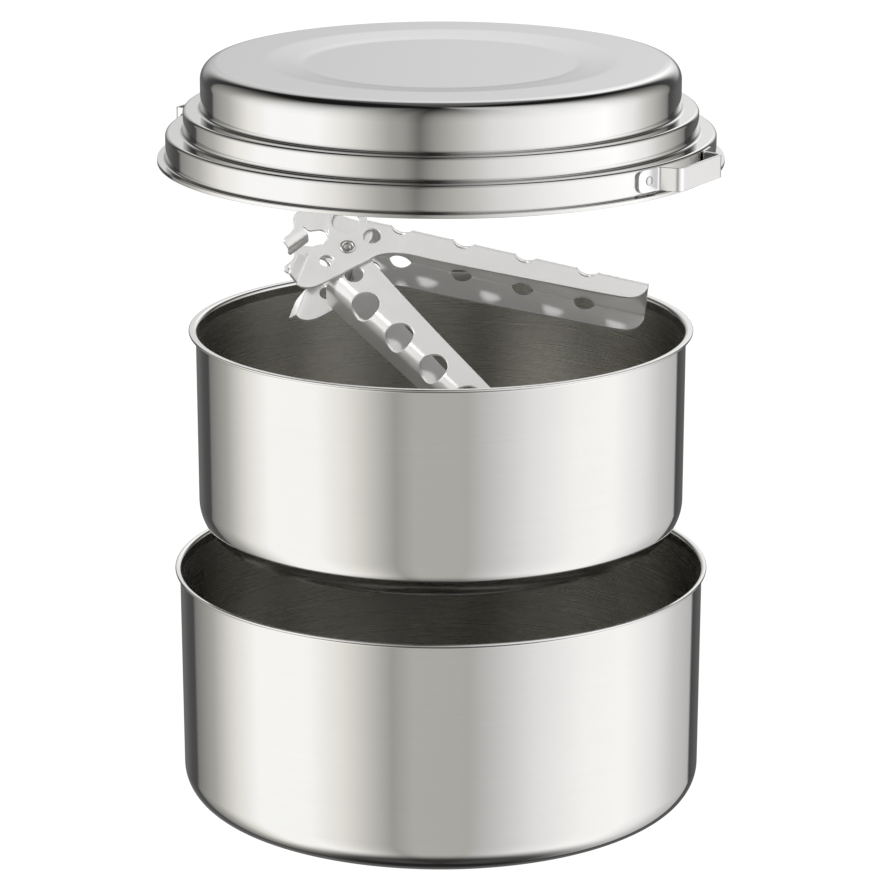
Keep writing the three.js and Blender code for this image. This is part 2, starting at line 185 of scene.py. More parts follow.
# azimuth, display level 0..255, tint
LOW_BAND = [
    (-180, 92, NEUTRAL), (-160, 90, NEUTRAL), (-148, 70, NEUTRAL), (-140.5, 66, NEUTRAL),
    (-138.5, 112, WARM), (-120, 160, WARM), (-103, 217, WARM), (-88, 243, NEUTRAL),
    (-60, 243, NEUTRAL), (-44, 222, WARM), (-21, 152, WARM), (-12, 170, WARM), (8, 168, WARM),
    (12, 166, WARM), (22, 186, COOL), (42, 220, COOL), (66, 240, NEUTRAL), (88, 244, NEUTRAL),
    (110, 222, COOL), (125, 194, COOL), (145, 168, COOL), (147, 60, NEUTRAL),
    (156, 76, NEUTRAL), (180, 92, NEUTRAL),
]
HIGH_BAND = [
    (-180, 92, NEUTRAL), (-160, 90, NEUTRAL), (-148, 70, NEUTRAL), (-140, 62, NEUTRAL),
    (-138, 126, WARM), (-120, 170, WARM), (-103, 228, WARM), (-88, 244, NEUTRAL),
    (-60, 244, NEUTRAL), (-44, 222, WARM), (-24, 160, WARM), (-17, 146, WARM), (-10, 98, WARM),
    (-3, 142, WARM), (10, 184, WARM), (24, 216, COOL), (55, 240, NEUTRAL), (84, 252, NEUTRAL),
    (103, 228, COOL), (113, 196, WARM), (137, 118, WARM), (139, 62, NEUTRAL),
    (152, 84, NEUTRAL), (180, 92, NEUTRAL),
]
# azimuth, degrees of elevation over which the boxes fade into the ceiling
FADE_REACH = [
    (-150, 50), (-125, 60), (-104, 66), (-85, 80), (-65, 88), (-50, 95), (-25, 92), (0, 95),
    (15, 100), (25, 112), (50, 150), (65, 140), (85, 115), (104, 85), (125, 64), (150, 50),
]
# share of that reach, share of the ceiling
FADE = [
    (0.0, 0.0), (0.2, 0.06), (0.35, 0.16), (0.5, 0.32), (0.63, 0.5), (0.75, 0.68),
    (0.85, 0.82), (0.94, 0.92), (1.0, 1.0),
]
# elevation, brightness of the wall behind the set
WALL = [(0, 0.58), (5, 0.70), (10, 0.86), (20, 1.15), (35, 1.2), (42, 1.1), (50, 0.2), (90, 0.04)]
WALL_RISE = (-4.0, 3.0)  # elevations over which the wall replaces the boxes
WALL_SIDES = (146.0, 166.0)  # azimuths either side over which the back replaces the front
WALL_TILT, WALL_TILT_MAX = 1.3, 0.3  # brightening towards +X and its limit either way


def linear(level):
    """A display level 0..255 as linear light."""
    level = level / 255.0
    return level / 12.92 if level <= 0.04045 else ((level + 0.055) / 1.055) ** 2.4


def grey(level):
    return (linear(level),) * 3 + (1.0,)


def round_share(azimuth):
    return (azimuth + 180.0) / 360.0


def band_stops(table):
    stops = []
    for azimuth, level, tint in table:
        colour = tuple(linear(level) * part / STEEL_F0 for part in tint)
        stops.append((round_share(azimuth), colour + (1.0,)))
    return stops


def grey_stops(pairs):
    return [(position, (value, value, value, 1.0)) for position, value in pairs]


def studio_world():
    world = bpy.data.worlds.new("studio")
    scene.world = world
    world.use_nodes = True
    n = Nodes(world.node_tree)
    generated = n.add("ShaderNodeTexCoord").outputs["Generated"]
    direction = n.add("ShaderNodeVectorMath", {0: generated}, operation="NORMALIZE").outputs[0]
    x, y, z = n.split(direction)
    azimuth = n.times(n.calc("ARCTAN2", x, n.times(y, -1.0)), 180 / math.pi)
    elevation = n.times(n.calc("ARCSINE", z), 180 / math.pi)
    around = n.calc("DIVIDE", n.plus(azimuth, 180.0), 360.0)

    # the boxes
    low = n.ramp(around, band_stops(LOW_BAND))
    high = n.ramp(around, band_stops(HIGH_BAND))
    boxes = n.mix(n.step(elevation, *BAND_SPLIT), low, high)
    foot = n.step(elevation, FOOT.start, FOOT.end, low=FOOT.least, high=1.0)
    boxes = n.mix(foot, grey(FOOT.level), boxes)

    # above them a dark ceiling, soon reached at the sides' far ends and late beside the camera
    reach_stops = grey_stops((round_share(a), reach / REACH_UNIT) for a, reach in FADE_REACH)
    reach = n.times(n.ramp(around, reach_stops), REACH_UNIT)
    rise = n.calc("DIVIDE", n.plus(elevation, FADE_START), reach, clamp=True)
    front = n.mix(n.ramp(rise, grey_stops(FADE)), boxes, grey(CEILING_LEVEL))

    # behind the set, the wall
    wall_stops = grey_stops((angle / 90.0, value) for angle, value in WALL)
    wall = n.ramp(n.calc("DIVIDE", elevation, 90.0), wall_stops)
    tilt = n.calc("MINIMUM", WALL_TILT_MAX, n.times(x, WALL_TILT))
    tilt = n.calc("MAXIMUM", -WALL_TILT_MAX, tilt)
    back = n.mix(n.step(elevation, *WALL_RISE), boxes, n.scaled(wall, n.plus(1.0, tilt)))
    seen = n.mix(n.step(n.calc("ABSOLUTE", azimuth), *WALL_SIDES), front, back)

    # the camera itself sees plain white
    camera_ray = n.add("ShaderNodeLightPath").outputs["Is Camera Ray"]
    colour = n.mix(camera_ray, seen, (1.0, 1.0, 1.0, 1.0))
    background = n.add("ShaderNodeBackground", {"Color": colour, "Strength": 1.0})
    n.add("ShaderNodeOutputWorld", {"Surface": background.outputs[0]})
    world.cycles.sampling_method = "MANUAL"
    world.cycles.sample_map_resolution = 1024


# ---- materials -------------------------------------------------------------------
# brush lines: noise scale round the axis and across the lines, detail, roughness, share
FINE_LINES = Dims(along=28.0, across=2600.0, detail=2.0, roughness=0.6, share=0.55)
COARSE_LINES = Dims(along=16.0, across=620.0, detail=3.0, roughness=0.55, share=0.45)
ROUGHNESS_SWING = 0.8  # how strongly the shading lowers the roughness
FLAT_SCATTER = 0.5  # roughness of the lid's flats seen from straight above
STRAP_REACH = 9.5 * MM  # reflections from further away pass through the brackets


def brush_lines(n, x, y, across, kind):
    point = n.combine(
        n.times(x, kind.along), n.times(y, kind.along), n.times(across, kind.across)
    )
    lines = n.noise(point, scale=1.0, detail=kind.detail, roughness=kind.roughness)
    return n.times(lines, kind.share)


def passing_rays(n, passes):
    """Which rays go straight through; see steel()."""
    path = n.add("ShaderNodeLightPath").outputs
    if passes == "far":
        distant = n.calc("GREATER_THAN", path["Ray Length"], STRAP_REACH)
        return n.times(path["Is Glossy Ray"], distant)
    rays = n.calc("MAXIMUM", path["Is Glossy Ray"], path["Is Shadow Ray"])
    if passes == "outer":
        rays = n.times(rays, n.add("ShaderNodeNewGeometry").outputs["Backfacing"])
    return rays


def steel(name, colour, roughness, line_bump=0.0, line_tone=0.0, anisotropy=0.0,
          cloudiness=0.0, lid=False, passes=None):
    """Turned or brushed sheet steel.

    line_bump: height of the brush lines. line_tone: how much they vary colour and polish;
    cloudiness: the same for slow patches. lid: the lines follow the lid's slope, and its flats
    scatter when seen from above. passes: rays let through: "far" glossy ones from afar;
    "inner" all glossy and shadow rays; "outer" the same from behind only.
    """
    material, n, position = new_material(name)
    x, y, z = n.split(position)
    radius = n.calc("SQRT", n.plus(n.times(x, x), n.times(y, y)))
    # the lines run round the axis, so they change fast only across it
    across = n.plus(z, n.times(radius, -1.0 if lid else 1.0))
    fine = brush_lines(n, x, y, across, FINE_LINES)
    lines = n.plus(fine, brush_lines(n, x, y, across, COARSE_LINES))
    patches = n.noise(position, scale=22.0, detail=3.0, roughness=0.55)
    shade = n.plus(n.swing(lines, line_tone), n.swing(patches, cloudiness))
    polish = n.calc("ADD", roughness, n.times(shade, -roughness * ROUGHNESS_SWING), clamp=True)
    if lid:
        # seen from above, a satin flat scatters the bright boxes round the dark ceiling
        facing = n.add("ShaderNodeNewGeometry").outputs
        flat = n.step(n.split(facing["Normal"])[2], 0.93, 0.97)
        steep = n.step(n.split(facing["Incoming"])[2], 0.55, 0.95)
        polish = n.calc("MAXIMUM", polish, n.times(n.times(flat, steep), FLAT_SCATTER))
    inputs = {
        "Base Color": n.scaled(colour, n.plus(1.0, shade)),
        "Metallic": 1.0,
        "Roughness": polish,
    }
    if anisotropy:
        tangent = n.add("ShaderNodeTangent", direction_type="RADIAL", axis="Z")
        inputs["Anisotropic"] = anisotropy
        inputs["Anisotropic Rotation"] = 0.25
        inputs["Tangent"] = tangent.outputs[0]
    if line_bump:
        inputs["Normal"] = n.bump(lines, line_bump)
    surface = n.add("ShaderNodeBsdfPrincipled", inputs).outputs[0]
    if passes:
        clear = n.add("ShaderNodeBsdfTransparent").outputs[0]
        rays = passing_rays(n, passes)
        surface = n.add("ShaderNodeMixShader", {0: rays, 1: surface, 2: clear}).outputs[0]
    n.add("ShaderNodeOutputMaterial", {"Surface": surface})
    return material


def aluminium(name):
    """Tumbled, satin pressed aluminium."""
    material, n, position = new_material(name)
    grain = n.noise(position, scale=2600.0, detail=2.0, roughness=0.6)
    patches = n.noise(position, scale=60.0, detail=3.0, roughness=0.6)
    shade = n.plus(n.swing(grain, 0.10), n.swing(patches, 0.10))
    bsdf = n.add("ShaderNodeBsdfPrincipled", {
        "Base Color": n.scaled((0.80, 0.795, 0.79), n.plus(1.0, shade)),
        "Metallic": 0.45,
        "Roughness": n.plus(0.22, n.times(patches, 0.08)),
        "Normal": n.bump(grain, distance=0.004),
    })
    n.add("ShaderNodeOutputMaterial", {"Surface": bsdf.outputs[0]})
    return material


POT_OUTSIDE = steel(
    "pot_polished", colour=(0.645, 0.64, 0.625), roughness=0.075,
    line_bump=0.0006, line_tone=0.05, anisotropy=0.5, cloudiness=0.05,
)
POT_INSIDE = steel(
    "pot_brushed_inside", colour=(0.60, 0.59, 0.555), roughness=0.27,
    line_bump=0.006, line_tone=0.35, anisotropy=0.75, cloudiness=0.12,
)
POT_LIP = steel(
    "pot_lip", colour=(0.68, 0.675, 0.66), roughness=0.14, line_tone=0.05, cloudiness=0.05,
)
LID_WALL = steel(
    "lid_polished", colour=(0.66, 0.655, 0.645), roughness=0.075,
    line_bump=0.0006, line_tone=0.04, anisotropy=0.4, cloudiness=0.05, lid=True, passes="outer",
)
LID_TOP = steel(
    "lid_satin", colour=(0.55, 0.55, 0.549), roughness=0.15,
    line_bump=0.001, line_tone=0.06, cloudiness=0.04, lid=True, passes="outer",
)
LID_INSIDE = steel(
    "lid_inside", colour=(0.58, 0.57, 0.54), roughness=0.30,
    line_bump=0.004, line_tone=0.2, anisotropy=0.6, cloudiness=0.08, lid=True, passes="inner",
)
BRACKET_STEEL = steel(
    "bracket_steel", colour=(0.73, 0.73, 0.735), roughness=0.2,
    line_bump=0.0005, line_tone=0.05, cloudiness=0.06, passes="far",
)
RIVET_STEEL = steel("rivet_steel", colour=(0.62, 0.615, 0.60), roughness=0.2, cloudiness=0.1)
LIFTER_SATIN = aluminium("lifter_satin")
PIN_STEEL = steel("pin_steel", colour=(0.55, 0.54, 0.53), roughness=0.26, cloudiness=0.15)


# ---- mesh helpers ----------------------------------------------------------------
def rotate(x, y, angle):
    """A plan point turned round the origin by an angle in radians."""
    cos, sin = math.cos(angle), math.sin(angle)
    return x * cos - y * sin, x * sin + y * cos


def circle(centre_x, centre_y, radius, count):
    points = []
    for i in range(count):
        angle = 2 * math.pi * i / count
        points.append((centre_x + radius * math.cos(angle), centre_y + radius * math.sin(angle)))
    return points


def mesh_object(name, verts, faces, materials, indices=None, normals=None, smooth=True):
    mesh = bpy.data.meshes.new(name)
    mesh.from_pydata([tuple(c * MM for c in vert) for vert in verts], [], faces)
    for material in materials:
        mesh.materials.append(material)
    if indices is not None:
        mesh.polygons.foreach_set("material_index", indices)
    mesh.polygons.foreach_set("use_smooth", [smooth] * len(faces))
    mesh.update()
    if normals is not None:
        mesh.normals_split_custom_set_from_vertices([Vector(v).normalized() for v in normals])
    obj = bpy.data.objects.new(name, mesh)
    scene.collection.objects.link(obj)
    return obj


def outward(obj):
    """Turns all faces outwards, whichever way the piece was walked."""
    bm = bmesh.new()
    bm.from_mesh(obj.data)
    bmesh.ops.recalc_face_normals(bm, faces=bm.faces)
    bm.to_mesh(obj.data)
    bm.free()


def register(obj, node, body):
    """Hides the CAD piece that the object replaces and hangs the object on the body it moves with."""
    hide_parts(node)
    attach(obj, body)


def revolve(profile, segments):
    """Vertices, faces and rings of an axis-to-axis profile of (radius, height)."""
    verts, faces, rings = [], [], []
    for radius, height in profile:
        count = 1 if radius < 1e-6 else segments
        rings.append(list(range(len(verts), len(verts) + count)))
        if count == 1:
            verts.append((0.0, 0.0, height))
        else:
            verts += [(x, y, height) for x, y in circle(0.0, 0.0, radius, segments)]
    for a, b in zip(rings, rings[1:]):
        for i in range(segments):
            j = (i + 1) % segments
            if len(a) == 1:
                faces.append((a[0], b[j], b[i]))
            elif len(b) == 1:
                faces.append((a[i], a[j], b[0]))
            else:
                faces.append((a[i], a[j], b[j], b[i]))
    return verts, faces, rings


# ---- pots and lid: profiles of (radius, height, normal radius, normal height) --------
def arc(centre_r, centre_z, radius, start, end, steps):
    """Arc points between two angles in degrees, normals away from the centre."""
    points = []
    for i in range(steps + 1):
        angle = math.radians(start + (end - start) * i / steps)
        cos, sin = math.cos(angle), math.sin(angle)
        points.append((centre_r + radius * cos, centre_z + radius * sin, cos, sin))
    return points


def flip(points):
    """The same points with their normals reversed."""
    return [(r, z, -normal_r, -normal_z) for r, z, normal_r, normal_z in points]


def join(runs):
    """Runs of (points, material) as rows, with points added along the long straight parts."""
    rows = []
    for points, material in runs:
        for p in points:
            if rows:
                last = rows[-1]
                gap = math.hypot(last[0] - p[0], last[1] - p[1])
                if gap < 1e-4:
                    rows[-1] = (*last[:4], material)
                    continue
                if gap > 6.0:
                    count = int(gap / 5.0)
                    normal = ((last[2] + p[2]) / 2, (last[3] + p[3]) / 2)
                    for i in range(1, count + 1):
                        r = last[0] + (p[0] - last[0]) * i / (count + 1)
                        z = last[1] + (p[1] - last[1]) * i / (count + 1)
                        rows.append((r, z, *normal, last[4]))
            rows.append((*p, material))
    return rows


def turned(name, rows, materials, base_z=0.0):
    """A lathe body. The rows run from axis to axis with the metal on the left."""
    profile = [(row[0], row[1] + base_z) for row in rows]
    verts, faces, rings = revolve(profile, POT_SEGMENTS)
    normals, indices = [], []
    for (_, _, normal_r, normal_z, _), ring in zip(rows, rings):
        for i in range(len(ring)):
            angle = 2 * math.pi * i / POT_SEGMENTS
            normals.append((normal_r * math.cos(angle), normal_r * math.sin(angle), normal_z))
    for row in rows[:-1]:
        indices += [row[4]] * POT_SEGMENTS
    return mesh_object(name, verts, faces, materials, indices, normals)


def pot(name, dims, node, body):
    outside, lip, inside = 0, 1, 2
    height, corner, sheet = dims.height, dims.corner, POT_SHEET
    corner_r = dims.base - corner
    flat_r = corner_r - FLOOR_MARGIN
    lip_half = LIP_THICK / 2
    crease_z = height - LIP_THICK - LIP_CREASE
    bore = dims.top - sheet
    rows = join([
        ([(0, 0, 0, -1), (flat_r, 0, 0, -1)], outside),
        (arc(corner_r, corner, corner, -90, 0, 28), outside),
        (flip(arc(dims.top + LIP_CREASE, crease_z, LIP_CREASE, 180, 90, 12)), lip),
        (arc(dims.lip - lip_half, height - lip_half, lip_half, -90, 90, 14), lip),
        (arc(bore + LIP_ROLL, height - LIP_ROLL, LIP_ROLL, 90, 180, 14), lip),
        ([(bore - 0.01, height - 4.0, -1, 0)], inside),
        (flip(arc(corner_r, corner, corner - sheet, 0, -90, 24)), inside),
        ([(flat_r, sheet, 0, 1), (0, sheet, 0, 1)], inside),
    ])
    obj = turned(name, rows, [POT_OUTSIDE, POT_LIP, POT_INSIDE], base_z=dims.z)
    register(obj, node, body)


def lid_dish(below, side):
    """The dish walked inwards to its flat floor; side is 1 on the upper face, -1 underneath."""
    points = []
    for i, ease in enumerate(LID_DISH_EASE):
        before, crease, after = (Vector(knot) for knot in LID_DISH[i : i + 3])
        start = crease + (before - crease).normalized() * ease
        end = crease + (after - crease).normalized() * ease
        for k in range(9):
            t = k / 8
            p = start * (1 - t) ** 2 + crease * 2 * t * (1 - t) + end * t * t
            heading = ((crease - start) * (1 - t) + (end - crease) * t).normalized()
            # the upper side is to the right of travel
            points.append((p.x, LID.top + p.y - below, heading.y * side, -heading.x * side))
    return points


def lid_shell():
    wall, top, inside = 0, 1, 2
    L, sheet = LID, LID.sheet
    shoulder, root, rim = L.shoulder, L.root, L.lip_edge
    lip_top = L.z + L.lip_thick
    edge_r, edge_z = L.wall_top - L.edge, L.top - L.edge
    floor_z = L.top - L.dish_drop
    # outer wall, height of the step, inner wall
    steps = [(L.wall_low, L.step_low, L.wall_mid), (L.wall_mid, L.step_high, L.wall_top)]

    outer = [
        (arc(L.lip - rim, L.z + rim, rim, -90, 0, 6), wall),
        (arc(L.lip - rim, lip_top - rim, rim, 0, 90, 6), wall),
        (flip(arc(L.wall_low + L.lip_root, lip_top + L.lip_root, L.lip_root, -90, -180, 10)), wall),
    ]
    for below, z, above in steps:
        outer.append((arc(below - shoulder, z - shoulder, shoulder, 0, 90, 12), wall))
        outer.append((flip(arc(above + root, z + root, root, -90, -180, 10)), wall))
    outer += [
        (arc(edge_r, edge_z, L.edge, 0, 72, 24), wall),
        (arc(edge_r, edge_z, L.edge, 72, 90, 8), top),
        (lid_dish(0.0, 1), top),
        ([(0, floor_z, 0, 1)], top),
    ]
    inner = [
        ([(0, floor_z - sheet, 0, -1)], inside),
        (list(reversed(lid_dish(sheet, -1))), inside),
        (flip(arc(edge_r, edge_z, L.edge - sheet, 90, 0, 18)), inside),
    ]
    for below, z, above in reversed(steps):
        inner.append((arc(above + root, z + root, root + sheet, -180, -90, 10), inside))
        inner.append((flip(arc(below - shoulder, z - shoulder, shoulder - sheet, 90, 0, 10)), inside))
    mouth = [
        (L.wall_low - sheet, L.z + 0.7, -1, 0), (L.wall_low - sheet + 0.15, L.z + 0.25, -0.9, -0.4),
        (L.wall_low + 0.1, L.z, -0.4, -0.9), (L.wall_low + 0.4, L.z, 0, -1),
    ]
    inner.append((mouth, inside))
    obj = turned("lid_shell_turned", join(inner + outer), [LID_WALL, LID_TOP, LID_INSIDE])
    register(obj, "lid_shell", "lid_body")


# ---- lid brackets ----------------------------------------------------------------
TAB_POINTS = 10  # along each tab's curve
PATH_STEP = 0.35
# distances from either end of the strap where its rounded end needs a section
END_STATIONS = [0.0, 0.05, 0.12, 0.25, 0.45, 0.7, 1.0, 1.35, 1.75, 2.2, 2.6]


def rounded_corner(before, corner, after, radius, longest_cut):
    """Points round a corner, and how far from it the round starts."""
    back, on = (before - corner).normalized(), (after - corner).normalized()
    half = back.angle(on) / 2
    cut = min(radius / math.tan(half), longest_cut)
    radius = cut * math.tan(half)
    centre = corner + (back + on).normalized() * (radius / math.sin(half))
    start, end = corner + back * cut - centre, corner + on * cut - centre
    turn = math.atan2(start.x * end.y - start.y * end.x, start.dot(end))
    points = []
    for k in range(9):
        x, y = rotate(start.x, start.y, turn * k / 8)
        points.append((centre.x + x, centre.y + y))
    return points, cut


def strap_plan():
    """The strap's middle line in plan, X out from the lid's axis, with round corners."""
    B = BRACKET
    tab_r = LID.wall_low + B.gap + B.thick / 2
    face_x = LID.wall_low + B.stand_off + B.thick / 2
    tab = []
    for s in np.linspace(-B.tab_out, -B.tab_in, TAB_POINTS):
        tab.append((tab_r * math.cos(s / LID.wall_low), tab_r * math.sin(s / LID.wall_low)))
    face = [(face_x, -B.face_half), (face_x, B.face_half)]
    corners = tab + face + [(x, -y) for x, y in reversed(tab)]
    first, last = TAB_POINTS - 1, TAB_POINTS + 2
    radii = {first: B.tab_bend, first + 1: B.face_bend, last - 1: B.face_bend, last: B.tab_bend}
    points = []
    for i, corner in enumerate(corners):
        if i in radii:
            before, middle, after = (Vector(p) for p in corners[i - 1 : i + 2])
            # the short pieces of the tabs' curves don't limit the round
            sides = []
            if i != first:
                sides.append((before - middle).length)
            if i != last:
                sides.append((after - middle).length)
            bend, cut = rounded_corner(before, middle, after, radii[i], 0.48 * min(sides))
            if i == first:
                while points and (Vector(points[-1]) - middle).length < cut + 0.05:
                    points.pop()
            points += bend
        elif i < last or (Vector(corner) - Vector(corners[last])).length >= 1.8:
            points.append(corner)
    return [Vector(p) for p in points]


def strap_path():
    """The plan at even steps, as (distance along, point, normal)."""
    plan = strap_plan()
    length = [0.0]
    for a, b in zip(plan, plan[1:]):
        length.append(length[-1] + (b - a).length)
    even = []
    count = int(length[-1] / PATH_STEP)
    k = 0
    for i in range(count + 1):
        s = length[-1] * i / count
        while k < len(length) - 2 and length[k + 1] < s:
            k += 1
        share = (s - length[k]) / max(length[k + 1] - length[k], 1e-9)
        even.append((s, plan[k].lerp(plan[k + 1], share)))
    path = []
    for i, (s, p) in enumerate(even):
        before, after = even[max(0, i - 1)][1], even[min(len(even) - 1, i + 1)][1]
        tangent = (after - before).normalized()
        path.append((s, p, Vector((tangent.y, -tangent.x))))
    return path


def path_at(path, s):
    """Point and normal at a distance along the path."""
    nearest = min(range(len(path)), key=lambda i: abs(path[i][0] - s))
    k = nearest if path[nearest][0] <= s else nearest - 1
    k = max(0, min(k, len(path) - 2))
    (s0, p0, normal0), (s1, p1, normal1) = path[k], path[k + 1]
    share = (s - s0) / max(s1 - s0, 1e-9)
    return p0.lerp(p1, share), normal0.lerp(normal1, share).normalized()


def round_off(radius, away):
    """How far a rounded end has drawn in at this distance from the end."""
    return radius - math.sqrt(max(radius * radius - (radius - min(away, radius)) ** 2, 0.0))


def strap(name, azimuth, node):
    """The bent strap: rounded-rectangle sections along its path, rounded ends in side view."""
    B = BRACKET
    corner_steps = 4
    path = strap_path()
    total = path[-1][0]
    stations = END_STATIONS + list(np.arange(3.0, total - 3.0, PATH_STEP))
    stations += [total - mark for mark in reversed(END_STATIONS)]
    verts, faces, sections = [], [], []
    for s in stations:
        point, normal = path_at(path, s)
        away = min(s, total - s)
        half_height = B.height / 2 - round_off(B.end_radius, away)
        half_thick = B.thick / 2 - round_off(B.edge, away)
        edge = min(B.edge, half_thick * 0.9)
        section = []
        for z_side, side, start in ((1, 1, 0), (1, -1, 90), (-1, -1, 180), (-1, 1, 270)):
            for k in range(corner_steps + 1):
                angle = math.radians(start + 90 * k / corner_steps)
                out = side * (half_thick - edge) + edge * math.cos(angle)
                up = z_side * (half_height - edge) + edge * math.sin(angle)
                x, y = point.x + normal.x * out, point.y + normal.y * out
                section.append(len(verts))
                verts.append((*rotate(x, y, math.radians(azimuth)), B.z + B.height / 2 + up))
        sections.append(section)
    for a, b in zip(sections, sections[1:]):
        for i in range(len(a)):
            j = (i + 1) % len(a)
            faces.append((a[i], b[i], b[j], a[j]))
    faces.append(tuple(sections[0]))
    faces.append(tuple(reversed(sections[-1])))
    obj = mesh_object(name, verts, faces, [BRACKET_STEEL])
    outward(obj)
    weighted = obj.modifiers.new("weighted", "WEIGHTED_NORMAL")
    weighted.keep_sharp = True
    register(obj, node, "lid_body")
    return obj


def rivet(number, azimuth, side):
    """A low domed head in the middle of a bracket's tab."""
    B = BRACKET
    along = side * (B.tab_in + B.tab_out) / 2
    angle = math.radians(azimuth) + along / LID.wall_low
    seat = LID.wall_low + B.gap + B.thick + 0.02
    head, faces, _ = revolve(RIVET_PROFILE, segments=40)
    # the head's own axis points out from the lid
    verts = [(*rotate(seat + h, x, angle), y + B.z + B.height / 2) for x, y, h in head]
    obj = mesh_object(f"rivet_head_{number}", verts, faces, [RIVET_STEEL])
    outward(obj)
    register(obj, f"bracket_rivet_{number}", "lid_body")


# ---- pot lifter: pressed sheet ---------------------------------------------------
# Each arm is a channel with a flat head. It is cut flat with its holes, then folded: middle
# surface first, thickness and rounded edges after. Lifter frame: origin on the pivot at the
# upper plate's outer face, X along the outer arm, Z down the pivot through both plates.
SHEET = 1.1
PIVOT = Vector((-32.58, 28.0, 188.97))
LIFTER_Z = Vector((-0.024, 0.685, -0.728)).normalized()
ROUGH_X = Vector((0.968, -0.166, -0.188))
LIFTER_X = (ROUGH_X - LIFTER_Z * ROUGH_X.dot(LIFTER_Z)).normalized()
LIFTER_Y = LIFTER_Z.cross(LIFTER_X)
OPEN_ANGLE = math.radians(32.5)  # inner arm against outer arm
PIVOT_HOLE = 2.2

# fold: y of the web's outer face; web: x where the web starts; hole: radius; first: hole's x
OUTER = Dims(
    width=21.8, fold=-13.9, bend=1.9, web=3.6, length=104.9,
    hole=3.9, holes=4, pitch=22.3, first=16.1,
)
INNER = Dims(
    width=19.0, near=1.4, fold=14.3, bend=5.4, web=4.6, length=101.5,
    hole=4.9, holes=5, pitch=17.2, first=21.0, hole_tilt=math.radians(30),
)

# Outlines of the plates: x, y, 1 where the curve is broken by a corner.
OUTER_HEAD = [  # from the head's edge near the fold to the jaw tab
    (-9.5, -13.9, 1), (-9.6, -9.4, 0), (-9.1, -6.8, 0), (-7.9, -3.9, 0), (-7.3, -1.2, 0),
    (-7.9, 0.7, 0), (-10.1, 1.7, 0), (-11.7, 3.0, 0), (-12.5, 5.0, 0), (-12.6, 7.2, 1),
]
OUTER_OPEN_EDGE = [  # from the jaw tab along the open edge to the far end
    (-13.3, 18.6, 1), (-12.8, 19.4, 0), (-11.4, 20.1, 0), (-9.2, 20.0, 0), (-7.0, 19.0, 0),
    (-4.9, 17.2, 0), (1.9, 9.9, 0), (8.3, 3.1, 0), (11.0, 0.4, 0), (14.6, -1.5, 0),
    (18.5, -2.5, 0), (23.0, -2.9, 0), (31.0, -2.9, 0), (62.9, -3.9, 0), (98.2, -5.5, 0),
    (100.6, -6.0, 0), (102.6, -7.2, 0), (104.1, -9.1, 0), (104.9, -11.2, 0),
]
INNER_OPEN_EDGE = [  # from the far end along the open edge and round the head
    (101.5, 8.0, 0), (101.5, 6.4, 0), (101.0, 4.9, 0), (99.6, 3.9, 0), (97.6, 3.5, 0),
    (76.2, 2.1, 0), (44.8, 0.1, 0), (14.0, -2.6, 0), (8.9, -3.3, 0), (5.4, -4.6, 0),
    (3.3, -6.8, 0), (2.3, -9.4, 0), (0.6, -11.4, 0), (-2.0, -12.2, 0), (-5.0, -11.8, 0),
]
INNER_LOBE_UPPER = [  # from the head to the jaw; the lower plate is cut straight across here
    (-8.2, -9.9, 0), (-13.0, -7.8, 0), (-18.0, -5.8, 0), (-21.6, -2.6, 0), (-23.2, 0.8, 0),
    (-23.5, 3.4, 0),
]
INNER_LOBE_LOWER = [(-8.2, -9.7, 1), (-22.3, 4.4, 1)]
INNER_JAW = [  # on to the jaw flange
    (-22.4, 5.5, 0), (-20.2, 7.0, 0), (-19.0, 8.6, 0), (-18.5, 10.6, 0), (-18.5, 12.4, 0),
    (-18.2, 13.6, 0), (-17.4, 14.35, 1),
]
INNER_HEEL = [  # from the jaw flange to the heel, where the web starts
    (-17.4, 5.4, 1), (-17.4, 4.8, 1), (-14.9, 4.5, 0), (-13.7, 2.9, 0), (-12.5, 1.4, 0),
    (-10.8, 0.8, 0), (-9.1, 1.2, 0), (-8.0, 2.4, 0), (-7.5, 4.2, 0), (-6.6, 6.2, 0),
    (-4.2, 7.8, 0), (-0.6, 8.6, 0), (2.6, 8.9, 0), (4.0, 9.0, 1),
]


def on_lifter(v):
    """A point of the lifter frame in the set's frame."""
    return PIVOT + LIFTER_X * v.x + LIFTER_Y * v.y + LIFTER_Z * v.z


def spline(points, step=0.7):
    """Even points along centripetal curves through an outline, broken at its corners."""
    runs, run = [], [points[0][:2]]
    for p in points[1:]:
        run.append(p[:2])
        if p[2]:
            runs.append(run)
            run = [p[:2]]
    if len(run) > 1:
        runs.append(run)
    out = [points[0][:2]]
    for run in runs:
        run = [Vector((*p, 0)) for p in run]
        if len(run) == 2:
            count = max(1, int((run[1] - run[0]).length / step))
            out += [tuple(run[0].lerp(run[1], i / count))[:2] for i in range(1, count + 1)]
            continue
        extended = [run[0] * 2 - run[1]] + run + [run[-1] * 2 - run[-2]]
        for k in range(1, len(extended) - 2):
            out += spline_piece(*extended[k - 1 : k + 3], step)
    return out


def spline_piece(p0, p1, p2, p3, step):
    """The centripetal curve from p1, not included, to p2."""
    t0 = 0.0
    t1 = t0 + max((p1 - p0).length, 1e-6) ** 0.5
    t2 = t1 + max((p2 - p1).length, 1e-6) ** 0.5
    t3 = t2 + max((p3 - p2).length, 1e-6) ** 0.5
    count = max(1, int(round((p2 - p1).length / step)))
    out = []
    for i in range(1, count + 1):
        t = t1 + (t2 - t1) * i / count

        def blend(a, ta, b, tb):
            return a * ((tb - t) / (tb - ta)) + b * ((t - ta) / (tb - ta))

        a1, a2, a3 = blend(p0, t0, p1, t1), blend(p1, t1, p2, t2), blend(p2, t2, p3, t3)
        c = blend(blend(a1, t0, a2, t2), t1, blend(a2, t1, a3, t3), t2)
        out.append((c.x, c.y))
    return out


